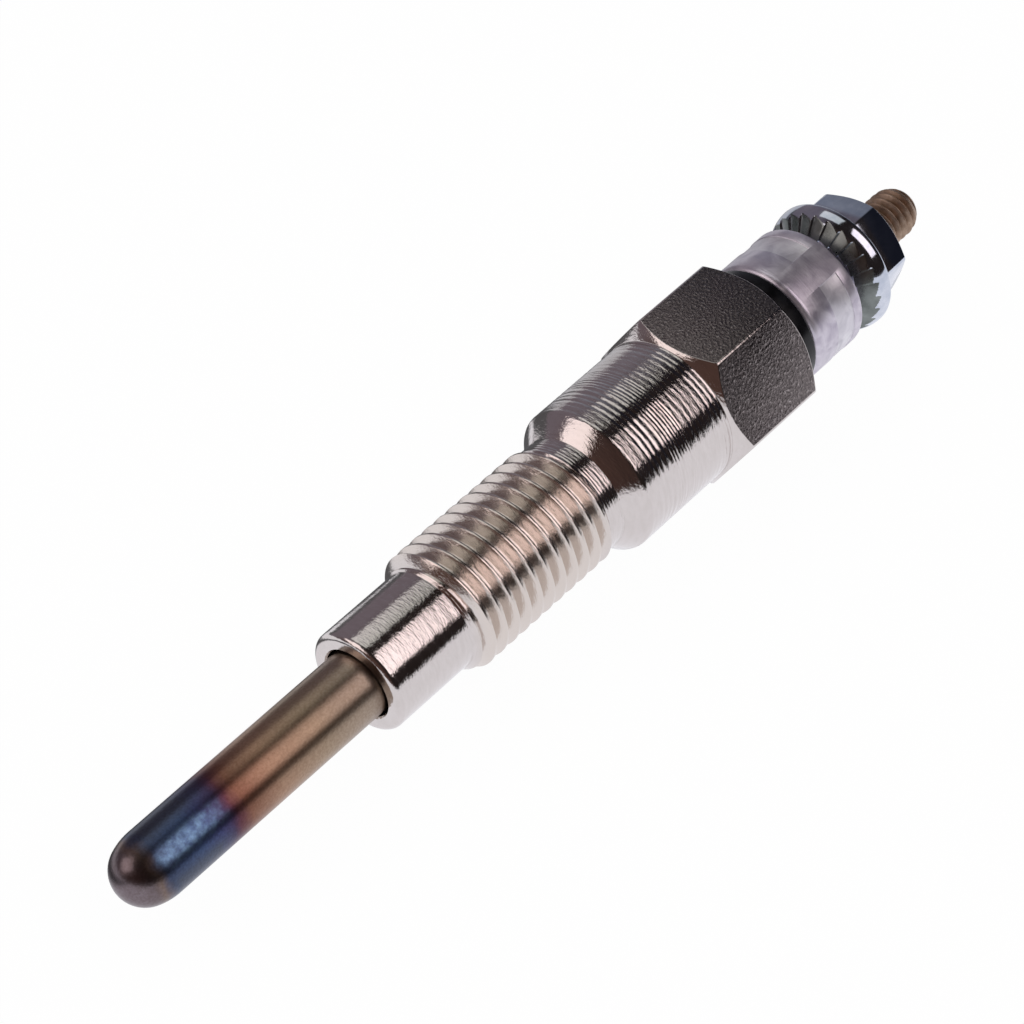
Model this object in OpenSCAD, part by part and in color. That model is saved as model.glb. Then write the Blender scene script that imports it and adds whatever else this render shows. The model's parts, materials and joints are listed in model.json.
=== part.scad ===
// Diesel glow plug with a metal glow tube, a taper seat and a screw terminal.
// Every piece is drawn along the plug's own axis, terminal end up, with zero at the large end of the
// taper seat. The finished plug is then laid down on the table as it comes to rest: tip toward -X,
// one hexagon flat down, the tip a little lower than the terminal.

/* [Whole plug] */
// Length from the tip to the end of the terminal stud; the round body takes up what the rest leaves
plug_l = 86; // [84:0.5:110]

/* [Glow tube] */
// Outside diameter of the glow tube
tube_d = 5.2; // [4.8:0.1:5.4]
// Wall thickness of the glow tube
tube_wall = 0.5; // [0.35:0.05:0.6]
// Length that stands out of the nose
tube_out = 22.8; // [21:0.2:30]
// Length held by the shell's bore
tube_grip = 12; // [8:0.5:15]
// Height of the welded bead that closes the tip
bead_h = 1.6; // [1.2:0.1:1.9]
// How far the tube is drawn in at the bead, on the radius
tip_draw = 0.3; // [0.1:0.05:0.4]
// Length over which the tube is drawn in
tip_draw_l = 1.7; // [1:0.1:3]
// Thickness of metal at the tip, on the axis
tip_t = 1.8; // [1.6:0.1:2.4]

/* [Shell] */
// Diameter of the plain nose
nose_d = 8.1; // [7.4:0.1:8.8]
// Length of the plain nose
nose_l = 7.5; // [6:0.1:12]
// Rounding of the nose's front edge
nose_round = 0.5; // [0.2:0.05:0.7]
// Air gap between the tube and the nose's bore, on the radius
nose_gap = 0.2; // [0.1:0.05:0.6]
// Depth of that air gap
nose_gap_l = 5; // [2:0.5:8]
// Crest diameter of the mounting thread
thread_d = 9.9; // [9.7:0.05:10]
// Length of the mounting thread, with its lead chamfer
thread_l = 14.1; // [10:0.1:20]
// Pitch of the mounting thread
thread_pitch = 1.25; // [1:0.05:1.5]
// Diameter of the relief behind the thread
neck_d = 9.3; // [8.6:0.1:9.6]
// Length of the relief behind the thread
neck_l = 1.55; // [0.8:0.05:2.5]
// Angle of the taper seat to the axis
seat_angle = 42; // [35:1:50]
// Diameter of the round body
body_d = 11.9; // [11:0.1:12.1]
// Hexagon width across flats
hex_af = 12.4; // [12.2:0.1:13]
// Length of the hexagon
hex_l = 9.35; // [9:0.25:14]
// Angle of the hexagon's end chamfers to the end faces
hex_chamfer = 40; // [20:1:45]
// How much is turned off the hexagon's corners, on the radius
hex_blunt = 0.06; // [0.02:0.02:0.2]
// Bore round the centre rod
rod_bore_d = 4.6; // [4.2:0.1:4.7]

/* [Coils] */
// Mean diameter of both coils
coil_d = 2.4; // [2.2:0.1:2.6]
// Wire diameter of the heating coil
heater_wire = 0.36; // [0.24:0.02:0.4]
// Turns of the heating coil
heater_turns = 9; // [5:1:12]
// Pitch of the heating coil
heater_pitch = 0.8; // [0.6:0.05:1]
// Length of wire that runs from the heating coil to the tip
heater_lead = 1.5; // [1:0.1:2.5]
// Wire diameter of the control coil
control_wire = 0.3; // [0.2:0.02:0.34]
// Turns of the control coil
control_turns = 16; // [10:1:20]
// Pitch of the control coil
control_pitch = 0.65; // [0.5:0.05:0.8]

/* [Centre rod] */
// Diameter of the rod inside the plug
rod_d = 3.4; // [3:0.1:3.5]
// Length of the rod's pin inside the control coil
pin_l = 3; // [1.5:0.1:5]
// Crest diameter of the terminal stud
stud_d = 4; // [3.8:0.1:4.2]
// Length of the stud's thread in front of the clamp ring
stud_lead = 0.8; // [0.3:0.1:1.2]
// Pitch of the stud's thread
stud_pitch = 0.7; // [0.5:0.05:0.8]
// Length of the stud beyond the nut
stud_out = 5.85; // [3:0.05:9]
// Height of the stud's rounded end
stud_dome = 1.7; // [0.8:0.1:1.9]

/* [Seals] */
// Length of the rubber plug in the open end of the tube
tube_seal_l = 3; // [1.5:0.25:5]

/* [Insulator] */
// Diameter of the insulator's collar
bush_d = 10.3; // [8.6:0.1:10.4]
// Thickness of the insulator's collar
bush_t = 1.75; // [1:0.05:3]
// Diameter of the insulator's sleeve in the shell
sleeve_d = 7.4; // [6.8:0.1:8]
// Length of the insulator's sleeve in the shell
sleeve_l = 5; // [3:0.25:8]
// Bevel of the collar's edges
bush_edge = 0.2; // [0.1:0.05:0.4]

/* [Clamp ring] */
// Diameter of the clamp ring
ring_d = 10.4; // [9.4:0.1:11]
// Length of the clamp ring
ring_l = 5.75; // [4.5:0.25:8]
// Rounding of the clamp ring's front edge
ring_round = 0.6; // [0.2:0.1:1]
// Rounding of the clamp ring's rear edge
ring_rear_round = 0.3; // [0.1:0.05:0.6]
// Diameter of the raised face that the nut bears on
ring_face_d = 6.8; // [6:0.1:7]
// Height of that raised face
ring_face_h = 1.25; // [0.8:0.05:1.5]
// Number of jaws that pressed the ring
jaw_count = 3; // [2:1:4]
// Angle of ring left bare between two jaws
jaw_land = 30; // [16:2:60]
// Width of a jaw's print along the ring
jaw_w = 2; // [1:0.1:3]
// Depth of a jaw's print
jaw_depth = 0.08; // [0.04:0.02:0.2]
// Distance from a jaw's print to the ring's rear face
jaw_back = 1.1; // [0.7:0.1:1.4]

/* [Terminal nut] */
// Nut width across flats
nut_af = 8; // [7.6:0.1:8.4]
// Height of the nut from its teeth to its end
nut_h = 5.7; // [4.5:0.1:8]
// Diameter of the nut's flat end
nut_end_d = 7.6; // [6.8:0.1:8]
// Angle of the nut's end chamfer to that end
nut_chamfer = 30; // [15:1:40]
// Diameter of the nut's flange
flange_d = 10.8; // [10:0.1:12]
// Height of the flange's widest circle above the teeth
flange_rim = 2.1; // [1.4:0.1:2.4]
// Radius of the rim's bulge below that circle
flange_bulge = 2.2; // [1:0.1:3]
// Angle that the bulge turns through before the toothed face
bulge_angle = 38; // [15:1:45]
// Slope of the flange's upper side
flange_slope = 25; // [10:1:35]
// Rounding of the flange's upper edge
flange_round = 0.25; // [0.1:0.05:0.5]
// Number of teeth on the bearing face
teeth = 26; // [18:1:36]
// Depth of the teeth at the rim
tooth_h = 0.25; // [0.15:0.05:0.7]
// Diameter inside the teeth
tooth_in_d = 7.8; // [7.2:0.1:8.4]
// Depth of the dished face inside the teeth
dish = 0.3; // [0.1:0.05:0.45]

/* [Clearances] */
// Press fit of the tube in the shell, on the radius
press_fit = 0; // [0:0.005:0.02]
// Running clearance of the nut on the stud, on the radius
nut_clear = 0.05; // [0.02:0.01:0.1]
// Clearance of the insulator in the shell, on the radius
sleeve_clear = 0.02; // [0:0.01:0.08]
// Clearance of the insulator round the stud, on the radius
stud_clear = 0.1; // [0.05:0.01:0.2]
// Clearance between the coils and what they lie on, on the radius
coil_clear = 0.01; // [0.005:0.005:0.04]
// Clearance of the rubber ring in its groove, on its section
seal_clear = 0.01; // [0:0.005:0.05]

/* [Hidden] */

$fn = 96;
// Steps of a coil's turn, sides of its wire and steps of a rounded edge
turn_steps = 14;
wire_sides = 8;
arc_steps = 8;
// Overlap of a cut past the face it leaves
over = 1;
// Depth and crest of a screw thread as shares of its pitch, and half the angle between its flanks
thread_depth = 0.6134;
thread_crest = 0.125;
thread_flank = 30;
// Share of a tooth's pitch that stays flat at its top
tooth_top = 0.12;
// Part of a turn over which the heating coil's wire bends toward the tip
lead_sweep = 60;
// Turn of the nut and of the jaw prints about the axis, as they happened to stop
nut_turn = 16;
jaw_turn = 202;

// Stations along the shell, from the seat to the nose and to the hexagon's end
seat_l = (body_d - neck_d) / 2 / tan(seat_angle);
neck_z = -seat_l;
thread_end_z = neck_z - neck_l;
thread_z = thread_end_z - thread_l;
face_z = thread_z - nose_l;
tip_z = face_z - tube_out;
terminal_l = bush_t + ring_l + ring_face_h - dish + nut_h + stud_out;
body_l = plug_l + tip_z - hex_l - terminal_l;
hex_end_z = body_l + hex_l;

// Stations along the glow tube
bead_z = tip_z + bead_h;
bead_r = tube_d / 2 - tip_draw;
straight_z = bead_z + tip_draw_l;
cavity_z = tip_z + tip_t;
cavity_r = tube_d / 2 - tube_wall;
tube_end_z = face_z + nose_gap_l + tube_grip;
tube_seal_z = tube_end_z - tube_seal_l;

// Stations along the coils
heater_z = cavity_z + heater_lead;
control_z = heater_z + heater_turns * heater_pitch;
control_end_z = control_z + control_turns * control_pitch;
channel_r = coil_d / 2 + heater_wire / 2 + coil_clear;
core_r = (coil_d - heater_wire) / 2 * cos(180 / turn_steps) - coil_clear;
pin_r = (coil_d - control_wire) / 2 * cos(180 / turn_steps) - coil_clear;
pin_z = control_end_z - pin_l;
shoulder_z = control_end_z + control_wire;

// Stations at the terminal end
seal_section = (sleeve_d - rod_d) / 2;
sleeve_z = hex_end_z - sleeve_l;
groove_z = sleeve_z - seal_section;
ring_z = hex_end_z + bush_t;
ring_end_z = ring_z + ring_l;
ring_face_z = ring_end_z + ring_face_h;
nut_z = ring_face_z - dish;
nut_end_z = nut_z + nut_h;
stud_z = ring_z - stud_lead;
stud_end_z = nut_end_z + stud_out;

// Radius of a sphere from the foot and height of its cap
function cap_radius(foot, height) = (foot * foot + height * height) / (2 * height);
bead_ball = cap_radius(bead_r, bead_h);
stud_ball = cap_radius(stud_d / 2, stud_dome);

// The plug lies on the body's front edge and on the front edge of a hexagon flat
flat_z = body_l + (hex_af - body_d) / 2 * tan(hex_chamfer);
rest_tilt = atan((hex_af - body_d) / 2 / flat_z);
rest_h = body_d / 2 * cos(rest_tilt);
mid_x = ((tip_z + bead_ball + stud_end_z - stud_ball) * cos(rest_tilt) - bead_ball + stud_ball) / 2;

module lay_down() {
    translate([-mid_x, 0, rest_h]) rotate([0, 90 - rest_tilt, 0]) children();
}

// Points of an arc about a centre, from one angle to another
function arc(centre, r, from, to) =
    [for (i = [0:arc_steps]) let (a = from + (to - from) * i / arc_steps)
        centre + r * [cos(a), sin(a)]];

// Half section of a thread, drawn as rings one pitch apart, between the ends of its crest cylinder
function thread_rings(r, pitch, from, to) =
    let (crest = pitch * thread_crest, deep = pitch * thread_depth, run = deep * tan(thread_flank))
    [for (i = [0:floor((to - from - crest) / pitch) - 1]) let (z = from + crest + pitch * i)
        each [[r, z], [r - deep, z + run], [r - deep, z + pitch - crest - run], [r, z + pitch - crest]]];

// Closed tube: outside with drawn end and welded bead, inside with a blunt bottom
module tube_outline() {
    draw_ball = cap_radius(tip_draw_l, tip_draw);
    draw_angle = asin(tip_draw_l / draw_ball);
    bead_angle = acos(bead_r / bead_ball);
    polygon(concat(
        [[0, tube_end_z], [tube_d / 2, tube_end_z]],
        arc([tube_d / 2 - draw_ball, straight_z], draw_ball, 0, -draw_angle),
        arc([0, tip_z + bead_ball], bead_ball, -bead_angle, -90)));
}

module tube_cavity(end_z) {
    polygon([[0, cavity_z], [cavity_r - tip_draw, cavity_z], [cavity_r, straight_z],
             [cavity_r, end_z], [0, end_z]]);
}

// Hexagon bar with a chamfer cone at each end that starts from the given circle
module chamfered_hex(af, length, foot_r, slope, corner_r, front, rear) {
    rise = (corner_r - foot_r) * tan(slope);
    intersection() {
        rotate(30) cylinder(d = af / cos(30), h = length, $fn = 6);
        rotate_extrude() polygon([
            [0, 0], [front ? foot_r : corner_r, 0], [corner_r, front ? rise : 0],
            [corner_r, length - (rear ? rise : 0)], [rear ? foot_r : corner_r, length], [0, length]]);
    }
}

module shell_outline() {
    crest_z = thread_z + (thread_d - nose_d) / 2;
    crest_end_z = thread_end_z - (thread_d - neck_d) / 2;
    polygon(concat(
        arc([nose_d / 2 - nose_round, face_z + nose_round], nose_round, -90, 0),
        [[nose_d / 2, thread_z], [thread_d / 2, crest_z]],
        thread_rings(thread_d / 2, thread_pitch, crest_z, crest_end_z),
        [[thread_d / 2, crest_end_z], [neck_d / 2, thread_end_z],
         [neck_d / 2, neck_z], [body_d / 2, 0], [body_d / 2, body_l + over], [0, body_l + over],
         [0, face_z]]));
}

module shell() {
    corner_r = hex_af / 2 / cos(30) - hex_blunt;
    color("#b9b1ae") lay_down() difference() {
        union() {
            rotate_extrude() shell_outline();
            translate([0, 0, body_l])
                chamfered_hex(hex_af, hex_l, body_d / 2, hex_chamfer, corner_r, true, true);
        }
        translate([0, 0, face_z - over]) cylinder(r = tube_d / 2 + nose_gap, h = nose_gap_l + over);
        translate([0, 0, face_z]) cylinder(r = tube_d / 2 + press_fit, h = nose_gap_l + tube_grip);
        translate([0, 0, face_z]) cylinder(d = rod_bore_d, h = hex_end_z - face_z);
        translate([0, 0, groove_z]) cylinder(d = sleeve_d, h = hex_end_z - groove_z + over);
    }
}

module glow_tube() {
    color("#7a6a5c") lay_down() difference() {
        rotate_extrude() tube_outline();
        rotate_extrude() tube_cavity(tube_end_z + over);
    }
}

// A wire wound at a constant radius: each station is its angle, its height and its lean out of the turn
function winding(start, z, turns, pitch) =
    [for (i = [0:turns * turn_steps]) [start + 360 * i / turn_steps, z + pitch * i / turn_steps, 0]];

// A wire end that leaves the coil along the axis in a quarter bend
function tip_lead(start, z, drop, sweep) =
    [for (i = [0:arc_steps - 1]) let (a = 90 - 90 * i / arc_steps)
        [start - sweep * sin(a), z - drop * (1 - cos(a)),
         atan2(drop * sin(a), coil_d / 2 * sweep * PI / 180 * cos(a))]];

module wire(stations, wire_d) {
    n = len(stations);
    points = [for (s = stations) for (j = [0:wire_sides - 1])
        let (q = 360 * j / wire_sides, r = coil_d / 2 + wire_d / 2 * cos(q), side = wire_d / 2 * sin(q),
             along = side * sin(s[2]))
        [r * cos(s[0]) - along * sin(s[0]), r * sin(s[0]) + along * cos(s[0]), s[1] - side * cos(s[2])]];
    walls = [for (i = [0:n - 2]) for (j = [0:wire_sides - 1])
        let (a = i * wire_sides + j, b = i * wire_sides + (j + 1) % wire_sides)
        each [[a, b, b + wire_sides], [a, b + wire_sides, a + wire_sides]]];
    first = [for (j = [wire_sides - 1:-1:0]) j];
    last = [for (j = [0:wire_sides - 1]) (n - 1) * wire_sides + j];
    polyhedron(points, concat(walls, [first, last]));
}

module heating_coil() {
    lead = tip_lead(0, heater_z, heater_lead, lead_sweep);
    color("#8c8c90") lay_down()
        wire(concat(lead, winding(0, heater_z, heater_turns, heater_pitch)), heater_wire);
}

module control_coil() {
    color("#b08d57") lay_down()
        wire(winding(360 * heater_turns, control_z, control_turns, control_pitch), control_wire);
}

// Packed powder round the coils and the rod
module magnesia_sleeve() {
    color("#e9e4da") lay_down() difference() {
        rotate_extrude() tube_cavity(tube_seal_z);
        translate([0, 0, cavity_z - over]) cylinder(r = channel_r, h = shoulder_z - cavity_z + 2 * over);
        translate([0, 0, shoulder_z]) cylinder(d = rod_d, h = tube_seal_z - shoulder_z + over);
    }
}

// Packed powder inside the coils
module magnesia_core() {
    color("#e9e4da") lay_down()
        translate([0, 0, cavity_z]) cylinder(r = core_r, h = pin_z - cavity_z);
}

// Rod with a pin for the control coil at one end and the terminal stud at the other
module centre_rod() {
    dome_angle = acos(stud_d / 2 / stud_ball);
    color("#8a7a6c") lay_down() rotate_extrude() polygon(concat(
        [[0, pin_z], [pin_r, pin_z], [pin_r, shoulder_z], [rod_d / 2, shoulder_z],
         [rod_d / 2, stud_z - (stud_d - rod_d) / 2], [stud_d / 2, stud_z]],
        thread_rings(stud_d / 2, stud_pitch, nut_end_z, stud_end_z - stud_dome),
        arc([0, stud_end_z - stud_ball], stud_ball, dome_angle, 90)));
}

module tube_seal() {
    color("#2b2b2d") lay_down() translate([0, 0, tube_seal_z]) difference() {
        cylinder(r = cavity_r, h = tube_seal_l);
        translate([0, 0, -over]) cylinder(d = rod_d, h = tube_seal_l + 2 * over);
    }
}

module rod_seal() {
    color("#2b2b2d") lay_down() translate([0, 0, groove_z + seal_section / 2])
        rotate_extrude() translate([rod_d / 2 + seal_section / 2, 0])
            circle(d = seal_section - 2 * seal_clear);
}

// Moulded bush: collar against the hexagon, sleeve down to the rubber ring
module insulator() {
    color("#17171a") lay_down() difference() {
        union() {
            translate([0, 0, sleeve_z]) cylinder(r = sleeve_d / 2 - sleeve_clear, h = sleeve_l + over / 2);
            translate([0, 0, hex_end_z]) rotate_extrude() polygon([
                [0, 0], [bush_d / 2 - bush_edge, 0], [bush_d / 2, bush_edge],
                [bush_d / 2, bush_t - bush_edge], [bush_d / 2 - bush_edge, bush_t], [0, bush_t]]);
        }
        translate([0, 0, sleeve_z - over])
            cylinder(r = stud_d / 2 + stud_clear, h = sleeve_l + bush_t + 2 * over);
    }
}

// Ring pressed onto the stud by jaws, with a raised face for the nut
module clamp_ring() {
    r = ring_d / 2;
    print_angle = 360 / jaw_count - jaw_land;
    color("#a9a4ab") lay_down() difference() {
        rotate_extrude() polygon(concat(
            arc([r - ring_round, ring_z + ring_round], ring_round, -90, 0),
            arc([r - ring_rear_round, ring_end_z - ring_rear_round], ring_rear_round, 0, 90),
            [[ring_face_d / 2, ring_end_z], [ring_face_d / 2, ring_face_z], [0, ring_face_z], [0, ring_z]]));
        translate([0, 0, ring_z - over]) cylinder(d = stud_d, h = ring_face_z - ring_z + 2 * over);
        for (i = [0:jaw_count - 1])
            translate([0, 0, ring_end_z - jaw_back - jaw_w])
                rotate(jaw_turn + jaw_land / 2 + 360 / jaw_count * i)
                    rotate_extrude(angle = print_angle)
                        translate([r - jaw_depth, 0]) square([jaw_depth + over, jaw_w]);
    }
}

// Space between two teeth on the coned face: a steep side on a radius and a ramp that rises from it
module tooth_space(from_r, to_r, slope) {
    ramp = 360 / teeth * (1 - tooth_top);
    section = function (r) let (face = (r - tooth_in_d / 2) * slope, deep = tooth_h * r / (flange_d / 2),
                                up = face - over, x = r * cos(ramp), y = r * sin(ramp))
        [[r, 0, face + deep], [r, 0, up], [x, y, face], [x, y, up]];
    polyhedron(concat(section(from_r), section(to_r)),
        [[0, 1, 3, 2], [4, 6, 7, 5], [0, 4, 5, 1], [2, 3, 7, 6], [0, 2, 6, 4], [1, 5, 7, 3]]);
}

// Nut with a bulged flange whose face is coned and toothed, and dished round the bore
module terminal_nut() {
    r = flange_d / 2;
    corner_r = nut_af / 2 / cos(30);
    bulge = arc([r - flange_bulge, flange_rim], flange_bulge, -bulge_angle, 0);
    slope = bulge[0][1] / (bulge[0][0] - tooth_in_d / 2);
    round_end = [r - flange_round * (1 - sin(flange_slope)), flange_rim + flange_round * cos(flange_slope)];
    top_z = round_end[1] + (round_end[0] - nut_af / 2) * tan(flange_slope);
    color("#8f929c") lay_down() translate([0, 0, nut_z]) difference() {
        union() {
            rotate_extrude() polygon(concat(
                [[0, 0], [tooth_in_d / 2, 0]], [for (i = [0:arc_steps - 1]) bulge[i]],
                arc([r - flange_round, flange_rim], flange_round, 0, 90 - flange_slope),
                [[nut_af / 2, top_z], [0, top_z]]));
            rotate(nut_turn - 30)
                chamfered_hex(nut_af, nut_h, nut_end_d / 2, nut_chamfer, corner_r, false, true);
        }
        translate([0, 0, -over]) cylinder(d = tooth_in_d, h = dish + over);
        translate([0, 0, -over]) cylinder(r = stud_d / 2 + nut_clear, h = nut_h + 2 * over);
        for (i = [0:teeth - 1])
            rotate(360 / teeth * i) tooth_space(tooth_in_d / 2 - over / 2, r + over, slope);
    }
}

shell();
glow_tube();
heating_coil();
control_coil();
magnesia_sleeve();
magnesia_core();
centre_rod();
tube_seal();
rod_seal();
insulator();
clamp_ring();
terminal_nut();
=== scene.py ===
import bpy
import json
import math
from mathutils import Matrix, Vector


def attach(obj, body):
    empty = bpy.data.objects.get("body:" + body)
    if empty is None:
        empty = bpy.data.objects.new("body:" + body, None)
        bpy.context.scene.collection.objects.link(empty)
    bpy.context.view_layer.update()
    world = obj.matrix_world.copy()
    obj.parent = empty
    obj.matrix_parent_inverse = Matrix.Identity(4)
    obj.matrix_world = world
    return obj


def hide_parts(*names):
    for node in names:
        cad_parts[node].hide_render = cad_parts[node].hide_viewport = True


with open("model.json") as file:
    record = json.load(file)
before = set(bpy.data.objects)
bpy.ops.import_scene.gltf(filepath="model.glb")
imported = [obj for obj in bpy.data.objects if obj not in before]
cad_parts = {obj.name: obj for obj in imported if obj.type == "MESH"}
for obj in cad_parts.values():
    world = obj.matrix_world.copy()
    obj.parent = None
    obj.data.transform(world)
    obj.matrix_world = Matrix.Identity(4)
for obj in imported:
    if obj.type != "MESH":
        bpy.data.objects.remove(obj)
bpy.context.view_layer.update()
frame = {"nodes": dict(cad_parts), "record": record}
scene = bpy.context.scene
mm = 0.001

# The plug's own axis runs from tip to terminal, with zero at the large end of the taper seat.
# The head thread in the record says where it lies; threadMiddle is that thread's middle on the axis.
threadMiddle = -9.7438
threadMount = [m for m in frame["record"]["mounts"] if m["name"] == "head_thread"][0]
plugAxis = -Vector(threadMount["axis"]).normalized()
seatCentre = Vector(threadMount["pos_m"]) - plugAxis * threadMiddle * mm
acrossAxis = Vector((0, 1, 0))
downAxis = acrossAxis.cross(plugAxis)
placePlug = Matrix.Translation(seatCentre) @ Matrix((downAxis, acrossAxis, plugAxis)).transposed().to_4x4()
print("frame loaded, plug axis", [round(c, 4) for c in plugAxis])


def clearSelection():
    if bpy.context.mode != "OBJECT":
        bpy.ops.object.mode_set(mode="OBJECT")
    bpy.ops.object.select_all(action="DESELECT")


def pickOnly(piece):
    clearSelection()
    piece.select_set(True)
    bpy.context.view_layer.objects.active = piece


# A plane is merged to one point, and the point is walked along the outline: radius and station in mm
def walkOutline(name, outline, closed=True):
    clearSelection()
    bpy.ops.mesh.primitive_plane_add(size=mm)
    piece = bpy.context.object
    piece.name = piece.data.name = name
    bpy.ops.object.mode_set(mode="EDIT")
    bpy.ops.mesh.select_mode(type="VERT")
    bpy.ops.mesh.merge(type="CENTER")
    bpy.ops.transform.translate(value=(outline[0][0] * mm, 0, outline[0][1] * mm))
    path = outline + outline[:1] if closed else outline
    for (r0, z0), (r1, z1) in zip(path, path[1:]):
        step = ((r1 - r0) * mm, 0, (z1 - z0) * mm)
        bpy.ops.mesh.extrude_vertices_move(TRANSFORM_OT_translate={"value": step})
    bpy.ops.mesh.select_all(action="SELECT")
    bpy.ops.mesh.remove_doubles(threshold=2e-7)
    return piece


def closeMesh(fill=False):
    bpy.ops.mesh.select_all(action="SELECT")
    bpy.ops.mesh.remove_doubles(threshold=2e-7)
    if fill:
        bpy.ops.mesh.fill_holes(sides=0)
    bpy.ops.mesh.normals_make_consistent(inside=False)
    bpy.ops.object.mode_set(mode="OBJECT")


# Turned piece: the outline is spun round the axis, all the way or over an angle in degrees
def turnPiece(name, outline, steps, closed=True, sweep=360):
    piece = walkOutline(name, outline, closed)
    bpy.ops.mesh.select_all(action="SELECT")
    bpy.ops.mesh.spin(steps=steps, angle=math.radians(sweep), center=(0, 0, 0), axis=(0, 0, 1))
    closeMesh(fill=sweep < 360)
    return piece


def applyModifier(piece, kind, **settings):
    pickOnly(piece)
    modifier = piece.modifiers.new(kind.lower(), kind)
    for key, value in settings.items():
        setattr(modifier, key, value)
    bpy.ops.object.modifier_apply(modifier=modifier.name)


def cutPiece(piece, tool, operation):
    applyModifier(piece, "BOOLEAN", object=tool, operation=operation, solver="EXACT")
    bpy.data.objects.remove(tool)


def roundEdge(centre, radius, start, stop, steps=6):
    angles = [math.radians(start + (stop - start) * i / steps) for i in range(steps + 1)]
    return [(centre[0] + radius * math.cos(a), centre[1] + radius * math.sin(a)) for a in angles]


# Repeatable scatter from -1 to 1
def scatter(i, seed):
    return math.modf(math.sin(i * 12.9898 + seed * 78.233) * 43758.5453)[0]


# Ring marks of a turning tool: a shallow scallop for every feed, uneven in width and depth.
# They lean towards the terminal, and are worn down round one station.
toolMark = {"widthSpread": 0.45, "cut": 0.6, "cutSpread": 0.4, "lean": 1.35, "leanSpread": 0.5, "wear": 0.7}


def toolMarks(radius, start, stop, feed, depth, seed, steps=8, worn=None):
    m = toolMark
    count = int(round((stop - start) / feed))
    widths = [1 + m["widthSpread"] * scatter(i, seed + 0.5) for i in range(count)]
    scale = (stop - start) / sum(widths)
    marks = []
    z = start
    for i, width in enumerate(widths):
        cut = depth * (m["cut"] + m["cutSpread"] * scatter(i, seed))
        if worn:
            cut *= 1 - m["wear"] * math.exp(-((z - worn[0]) / worn[1]) ** 2)
        lean = m["lean"] + m["leanSpread"] * scatter(i, seed + 0.8)
        for j in range(steps):
            share = (j / steps) ** lean
            marks.append((radius - cut * math.sin(math.pi * share) ** 2, z + width * scale * j / steps))
        z += width * scale
    return marks + [(radius, stop)]


# Screw thread: the ridge's section is wound by the Screw modifier, and its ends are cut to a turned limit
def windThread(name, thread, limit):
    crestR, footR, soft = thread["crestR"], thread["footR"], thread["soften"]
    half = thread["crest"] / 2
    flank = (crestR - footR) * math.tan(math.radians(30))
    rise = soft * 0.577  # the flank's 30 degrees again
    # The crest is rounded in two steps on each side
    section = [(footR, -half - flank), (crestR - soft, -half - rise), (crestR - soft * 0.25, -half),
               (crestR, -half * 0.3), (crestR, half * 0.3),
               (crestR - soft * 0.25, half), (crestR - soft, half + rise), (footR, half + flank)]
    ridge = walkOutline(name, [(r, z + thread["start"]) for r, z in section])
    bpy.ops.object.mode_set(mode="OBJECT")
    applyModifier(ridge, "SCREW", axis="Z", angle=2 * math.pi, screw_offset=thread["pitch"] * mm,
                  iterations=thread["turns"], steps=thread["steps"], render_steps=thread["steps"],
                  use_merge_vertices=False, use_smooth_shade=False)
    bpy.ops.object.mode_set(mode="EDIT")
    closeMesh(fill=True)
    cutPiece(ridge, turnPiece("threadLimit", limit, 160, closed=False), "INTERSECT")
    return ridge


# Hexagon bar with rounded corners, its ends turned to a cone
def hexBar(name, bar):
    cornerR = bar["acrossFlats"] / 2 / math.cos(math.radians(30))
    bottom, top = bar["bottom"], bar["top"]
    clearSelection()
    bpy.ops.mesh.primitive_cylinder_add(vertices=6, radius=cornerR * mm, depth=(top - bottom) * mm,
                                        location=(0, 0, (top + bottom) / 2 * mm))
    piece = bpy.context.object
    piece.name = piece.data.name = name
    piece.rotation_euler.z = math.radians(bar["turn"])
    bpy.ops.object.transform_apply(location=True, rotation=True, scale=True)
    bpy.ops.object.mode_set(mode="EDIT")
    bpy.ops.mesh.select_mode(type="EDGE")
    bpy.ops.mesh.select_all(action="DESELECT")
    bpy.ops.object.mode_set(mode="OBJECT")
    for edge in piece.data.edges:
        a, b = [piece.data.vertices[i].co for i in edge.vertices]
        edge.select = abs(a.z - b.z) > mm
    bpy.ops.object.mode_set(mode="EDIT")
    bpy.ops.mesh.bevel(offset=bar["cornerRound"] * mm, segments=5, affect="EDGES")
    bpy.ops.object.mode_set(mode="OBJECT")
    slope = math.tan(math.radians(bar["coneSlope"]))
    wide = cornerR + 0.2  # clear of the corners
    front = bottom - bar["frontLift"]
    outline = [(0, front)]
    if bar["frontR"]:
        outline += [(bar["frontR"], front), (wide, front + (wide - bar["frontR"]) * slope)]
    else:
        outline += [(wide, front)]
    outline += [(wide, top - (wide - bar["rearR"]) * slope), (bar["rearR"], top), (0, top)]
    cutPiece(piece, turnPiece("chamferTool", outline, 240, closed=False), "INTERSECT")
    return piece


def joinPieces(main, *others):
    pickOnly(main)
    for other in others:
        other.select_set(True)
    bpy.ops.object.join()
    return main


# The finished piece is laid down with the plug, and its place goes into its mesh
def finishPiece(piece, node, smoothAngle=35):
    pickOnly(piece)
    piece.matrix_world = placePlug
    bpy.ops.object.transform_apply(location=True, rotation=True, scale=True)
    bpy.ops.object.shade_smooth_by_angle(angle=math.radians(smoothAngle))
    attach(piece, "root")
    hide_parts(node)
    piece.data.calc_loop_triangles()
    print("piece", piece.name, len(piece.data.loop_triangles), "triangles")


# Materials

def linearColour(code):
    parts = [int(code[i:i + 2], 16) / 255 for i in (1, 3, 5)]
    return [c / 12.92 if c <= 0.04045 else ((c + 0.055) / 1.055) ** 2.4 for c in parts] + [1.0]


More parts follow.
